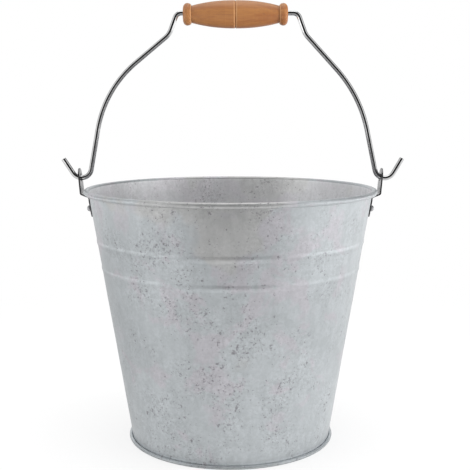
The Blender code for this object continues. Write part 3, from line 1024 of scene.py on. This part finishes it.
class Paint(Nodes):
    """A material's nodes, in the object's own coordinates."""

    def __init__(self, name):
        self.material = bpy.data.materials.new(name)
        self.material.use_nodes = True
        super().__init__(self.material.node_tree)
        self.shader = self.tree.nodes["Principled BSDF"]
        self.place = self.add("ShaderNodeTexCoord").outputs["Object"]

    def stretched(self, scale):
        """Object coordinates drawn out by a scale on each axis."""
        return self.add("ShaderNodeMapping", Vector=self.place, Scale=scale).outputs["Vector"]

    def noise(self, scale, detail, roughness=0.5, where=None, distortion=0):
        made = self.add(
            "ShaderNodeTexNoise",
            Vector=where or self.place,
            Scale=scale,
            Detail=detail,
            Roughness=roughness,
            Distortion=distortion,
        )
        return made.outputs["Fac"]

    def cells(self, scale, where):
        return self.add("ShaderNodeTexVoronoi", Vector=where, Scale=scale)

    def scaled(self, vector, scale):
        """A vector or colour times a number."""
        made = self.add("ShaderNodeVectorMath", {"operation": "SCALE"}, Scale=scale)
        self.feed(made.inputs[0], vector)
        return made.outputs["Vector"]

    def cut_line(self, value, middle, width):
        """1 where the value is at the middle, falling to 0 at half the width from it."""
        apart = self.maths("ABSOLUTE", self.maths("SUBTRACT", value, middle), 0)
        return self.span(apart, 0, width / 2, 1, 0, smooth=True)

    def blend(self, share, first, second):
        made = self.add("ShaderNodeMix", {"data_type": "RGBA"})
        factor, first_colour, second_colour, result = MIX_SOCKETS
        self.feed(made.inputs[factor], share)
        self.feed(made.inputs[first_colour], first)
        self.feed(made.inputs[second_colour], second)
        return made.outputs[result]

    def bump(self, height, distance):
        made = self.add("ShaderNodeBump", Height=height, Distance=distance)
        self.tree.links.new(made.outputs["Normal"], self.shader.inputs["Normal"])

    def finish(self, **inputs):
        for key, value in inputs.items():
            self.feed(self.shader.inputs[key.replace("_", " ")], value)
        return self.material


def galvanised(name, tints, painted_light_gain, metallic):
    """Dull zinc: patches of three greys, faint spangle, streaks, specks in clusters, and painted
    light.
    """
    paint = Paint(name)
    axes = paint.add("ShaderNodeSeparateXYZ", Vector=paint.place)
    height = axes.outputs["Z"]
    aside = paint.maths("ABSOLUTE", axes.outputs["X"], 0)
    leans = []
    for sideways, upwards, start in (LAVENDER_LEAN, PLAIN_LEAN):
        lean = paint.maths("ADD", paint.product(aside, sideways), start)
        leans.append(paint.maths("ADD", lean, paint.product(height, upwards)))
    patches = paint.maths("ADD", paint.noise(*PATCHES, distortion=PATCH_WARP), leans[0])
    patches = paint.span(patches, *PATCH_EDGES, smooth=True)
    colour = paint.blend(patches, tints[0], tints[1])
    plain = paint.maths("ADD", paint.noise(*PLAIN), leans[1])
    colour = paint.blend(paint.span(plain, *PLAIN_EDGES, smooth=True), colour, tints[2])

    # The spangle is read at places shaken a little, which gives its flakes ragged edges
    shake = paint.add("ShaderNodeTexNoise", Vector=paint.place, Scale=SHAKE_SCALE)
    ragged = paint.add("ShaderNodeVectorMath", {"operation": "ADD"})
    paint.feed(ragged.inputs[0], paint.place)
    paint.feed(ragged.inputs[1], paint.scaled(shake.outputs["Color"], SHAKE_REACH))
    flakes = paint.cells(FLAKE_SCALE, ragged.outputs["Vector"])
    tone = paint.add("ShaderNodeSeparateColor", Color=flakes.outputs["Color"])
    flake = paint.span(tone.outputs["Red"], 0, 1, *FLAKE_TONES)
    streak = paint.noise(*STREAKS, paint.stretched(STREAK_STRETCH))
    streak = paint.span(streak, *CORE, *STREAK_TONES)
    cloud = paint.span(paint.noise(*CLOUDS), *CORE, *CLOUD_TONES)

    # A painted highlight on the bead round the rim, and painted light in the crease above the foot
    bead = paint.span(height, HEIGHT - BEAD_HEIGHT, HEIGHT - CURL_RADIUS, 1, BEAD_PAINTED_HIGHLIGHT)
    start, fullest, end = CREASE_LIGHT
    falling = paint.span(height, fullest, end, CREASE_LIGHT_GAIN, 0, smooth=True)
    rising = paint.span(height, start, fullest, 0, CREASE_LIGHT_GAIN)
    painted_crease_light = paint.maths("ADD", paint.maths("MINIMUM", rising, falling), 1)

    # Specks and grain are gathered in clusters, and the zinc between them is clean
    moved = paint.add("ShaderNodeMapping", Vector=paint.place, Location=CLUSTER_SHIFT)
    cluster = paint.span(paint.noise(*CLUSTERS, moved.outputs["Vector"]), *CLUSTER_EDGES)
    gathered = paint.span(cluster, 0, 1, *CLUSTER_GAIN)
    gathered = paint.maths("ADD", gathered, paint.product(aside, SPECK_FALL))
    sizes = []
    for specks, edges in SPECKS:
        size = paint.maths("ADD", paint.noise(*specks), gathered)
        sizes.append(paint.span(size, *edges, 0, SPECK_STRENGTH))
    dark = paint.maths("MAXIMUM", *sizes)
    colour = paint.blend(dark, colour, SPECK_COLOUR)
    grain = paint.span(paint.noise(*GRAIN), *CORE, -1, 1)
    mottle = paint.product(grain, paint.span(cluster, 0, 1, *GRAIN_TONES))
    mottle = paint.maths("ADD", mottle, 1)
    # The zinc's tone, times the painted light on the bead, in the crease and over the whole inside
    value = paint.product(flake, streak, cloud, mottle, bead, painted_crease_light, painted_light_gain)

    rough = paint.span(paint.noise(*DULLING), *WIDE, *DULLNESS)
    rough = paint.maths("ADD", rough, paint.product(dark, SPECK_DULLNESS))
    relief = paint.product(paint.noise(*RELIEF), RELIEF_SHARE)
    relief = paint.maths("ADD", relief, paint.product(flake, FLAKE_SHARE))
    paint.bump(paint.maths("SUBTRACT", relief, dark), RELIEF_DEPTH)
    return paint.finish(Base_Color=paint.scaled(colour, value), Roughness=rough, Metallic=metallic)


def plated(name):
    """Plated metal: two greys in clouds, duller and brighter spots, and an uneven skin."""
    paint = Paint(name)
    look = PLATED[name]
    clouds = paint.span(paint.noise(*look["clouds"]), *look["edges"])
    colour = paint.blend(clouds, *look["greys"])
    rough = paint.span(paint.noise(*look["spots"]), *WIDE, *look["dullness"])
    if "relief" in look:
        paint.bump(paint.noise(*look["relief"]), look["depth"])
    return paint.finish(Base_Color=colour, Roughness=rough, Metallic=look["metallic"])


def varnished_wood():
    """Turned hardwood: grain along the grip, turning marks round it, small pores and varnish."""
    paint = Paint("turned_wood")
    band = paint.noise(*BANDS, paint.stretched(BAND_STRETCH), BAND_WARP)
    colour = paint.blend(paint.span(band, *BAND_EDGES, smooth=True), *BAND_COLOURS)
    fibre = paint.noise(*FIBRES, paint.stretched(FIBRE_STRETCH))
    colour = paint.blend(paint.span(fibre, *FIBRE_EDGES), colour, FIBRE_COLOUR)
    pores = paint.cells(1, paint.stretched(PORE_STRETCH))
    pore = paint.span(pores.outputs["Distance"], *PORE_EDGES, PORE_STRENGTH, 0)
    colour = paint.blend(pore, colour, PORE_COLOUR)

    # A dark line on the neck beside each collar, and painted highlights on the collars' inner
    # edges and beside the groove
    along = paint.add("ShaderNodeSeparateXYZ", Vector=paint.place).outputs["Z"]
    out = paint.maths("ABSOLUTE", along, 0)
    collar = GRIP_LENGTH / 2 - GRIP_COLLAR_WIDTH
    cut = paint.cut_line(out, collar - GRIP_LINE / 2, GRIP_LINE)
    strength, dark = DARK_LINE
    colour = paint.blend(paint.product(cut, strength), colour, dark)
    edge = paint.cut_line(out, collar + GRIP_LINE / 2, GRIP_LINE)
    middle = paint.cut_line(out, GRIP_GROOVE_WIDTH, GRIP_GROOVE_WIDTH)
    strength, highlight_tint = PAINTED_HIGHLIGHT_LINE
    shown = paint.product(paint.maths("MAXIMUM", edge, middle), strength)
    colour = paint.blend(shown, colour, highlight_tint)
    marks = paint.noise(*MARKS, paint.stretched(MARK_STRETCH))
    turned = paint.scaled(colour, paint.span(marks, *WIDE, *MARK_TONES))
    rough = paint.span(fibre, *WIDE, *WOOD_DULLNESS)
    paint.bump(paint.maths("SUBTRACT", fibre, pore), WOOD_DEPTH)
    return paint.finish(
        Base_Color=turned,
        Roughness=rough,
        Coat_Weight=VARNISH_WEIGHT,
        Coat_Roughness=VARNISH_DULLNESS,
    )


def dress(obj, paint):
    obj.data.materials.clear()
    obj.data.materials.append(paint)


def aim(obj, place, target):
    obj.location = place
    obj.rotation_euler = (Vector(target) - Vector(place)).to_track_quat("-Z", "Y").to_euler()
    bpy.context.scene.collection.objects.link(obj)


def softbox(name, place, target, size, power, mirrored):
    lamp = bpy.data.lights.new(name, "AREA")
    lamp.shape = "RECTANGLE"
    lamp.size, lamp.size_y = size
    lamp.energy = power
    holder = bpy.data.objects.new(name, lamp)
    holder.visible_glossy = mirrored
    aim(holder, place, target)


def studio():
    """Large dim softboxes, and a room that metal sees dark by the camera and white behind."""
    for lamp in SOFTBOXES:
        softbox(*lamp)
    world = bpy.data.worlds.new("studio")
    bpy.context.scene.world = world
    world.use_nodes = True
    room = Nodes(world.node_tree)
    direction = room.add("ShaderNodeTexCoord").outputs["Generated"]
    height = room.add("ShaderNodeSeparateXYZ", Vector=direction).outputs["Z"]
    mirrored = room.rings(height, direction, ROOM_TONES)
    lit = room.between(room.shown("Glossy"), ROOM_LIGHT, mirrored)
    strength = room.between(room.shown("Camera", "Transmission"), lit, 1)
    background = room.tree.nodes["Background"]
    room.feed(background.inputs["Strength"], strength)
    background.inputs["Color"].default_value = (1, 1, 1, 1)


def floor():
    """A wide white sheet that keeps the bucket's soft shadow and runs out into white."""
    bpy.ops.mesh.primitive_plane_add(size=FLOOR_SIZE)
    sheet = bpy.context.object
    sheet.name = "studio_floor"
    paint = bpy.data.materials.new("white_floor")
    paint.use_nodes = True
    paint.node_tree.nodes.clear()
    ground = Nodes(paint.node_tree)
    place = ground.add("ShaderNodeTexCoord").outputs["Object"]
    distance = ground.add("ShaderNodeVectorMath", {"operation": "LENGTH"}, Vector=place)
    distance = distance.outputs["Value"]

    # The camera sees the shadow near the bucket, and plain white further out
    near = ground.add("ShaderNodeBsdfDiffuse", Color=(SHADOW_SHARE, SHADOW_SHARE, SHADOW_SHARE, 1))
    lift = ground.add("ShaderNodeEmission", Strength=1 - SHADOW_SHARE)
    shaded = ground.add("ShaderNodeAddShader")
    ground.feed(shaded.inputs[0], near.outputs["BSDF"])
    ground.feed(shaded.inputs[1], lift.outputs["Emission"])
    white = ground.add("ShaderNodeEmission", Strength=1.0)
    fade = ground.span(distance, *SHADOW_FADE, smooth=True)
    seen = ground.add("ShaderNodeMixShader", Fac=fade)
    ground.feed(seen.inputs[1], shaded.outputs["Shader"])
    ground.feed(seen.inputs[2], white.outputs["Emission"])

    # Metal sees the tones set for it above
    tone = ground.rings(distance, place, FLOOR_TONES)
    mirrored = ground.add("ShaderNodeEmission", Strength=tone)

    # Everything else is lit by a plain white sheet
    plain = ground.add("ShaderNodeBsdfDiffuse", Color=(FLOOR_WHITE, FLOOR_WHITE, FLOOR_WHITE, 1))
    result = plain.outputs["BSDF"]
    for kinds, shader in (
        (("Glossy",), mirrored.outputs["Emission"]),
        (("Camera", "Transmission"), seen.outputs["Shader"]),
    ):
        choose = ground.add("ShaderNodeMixShader", Fac=ground.shown(*kinds))
        ground.feed(choose.inputs[1], result)
        ground.feed(choose.inputs[2], shader)
        result = choose.outputs["Shader"]
    ground.add("ShaderNodeOutputMaterial", Surface=result)
    sheet.data.materials.append(paint)


# The photograph is 470 pixels wide, and its lens makes one radian 925.4 of them
PHOTO_WIDTH = 470
FOCAL_PIXELS = 925.4
SENSOR = 36
CAMERA_PLACE = (0.0045, -0.9332, 0.3413)
CAMERA_PITCH = radians(8.13)
NEAREST_SEEN = 0.05


def camera():
    view = bpy.data.cameras.new("camera")
    view.sensor_width = SENSOR
    view.lens = SENSOR * FOCAL_PIXELS / PHOTO_WIDTH
    view.clip_start = NEAREST_SEEN
    holder = bpy.data.objects.new("camera", view)
    holder.location = CAMERA_PLACE
    holder.rotation_euler = (pi / 2 - CAMERA_PITCH, 0, 0)
    bpy.context.scene.collection.objects.link(holder)
    bpy.context.scene.camera = holder


def line_inside(shell, paint):
    """Gives the inside of the wall and the top of the pan a second, brighter material: painted
    light.

    It ends a little below the rim, and leaves the bead's outer faces alone.
    """
    shell.data.materials.append(paint)
    low, crest = PAN_RECESS + SHEET / 2, HEIGHT - CREST_DROP
    bead = CURL_CENTRE[1] - CURL_RADIUS
    for face in shell.data.polygons:
        inward = face.normal.x * face.center.x + face.normal.y * face.center.y < 0
        upward = face.normal.z > FLAT_FROM and face.center.z < bead
        if low < face.center.z < crest and (inward or upward):
            face.material_index = 1


def build():
    outside = galvanised("galvanised_zinc", OUTSIDE_TINTS, 1, OUTSIDE_METALLIC)
    # The inside is a brighter copy of the zinc: painted light against the shade in the bucket
    inside = galvanised("inside_zinc", INSIDE_TINTS, INSIDE_PAINTED_LIGHT, INSIDE_METALLIC)
    steel = plated("dark_steel")
    for shell in (bucket_wall(), bottom_pan()):
        dress(shell, outside)
        line_inside(shell, inside)
    dress(NODES["rim_wire"], steel)
    for ear in ears():
        dress(ear, steel)
    rivet_paint = plated("rivet_metal")
    for rivet in rivets():
        dress(rivet, rivet_paint)
    dress(bail(), plated("plated_wire"))
    dress(grip(), varnished_wood())


camera()
studio()
floor()
build()
bpy.context.scene.view_settings.view_transform = "Standard"
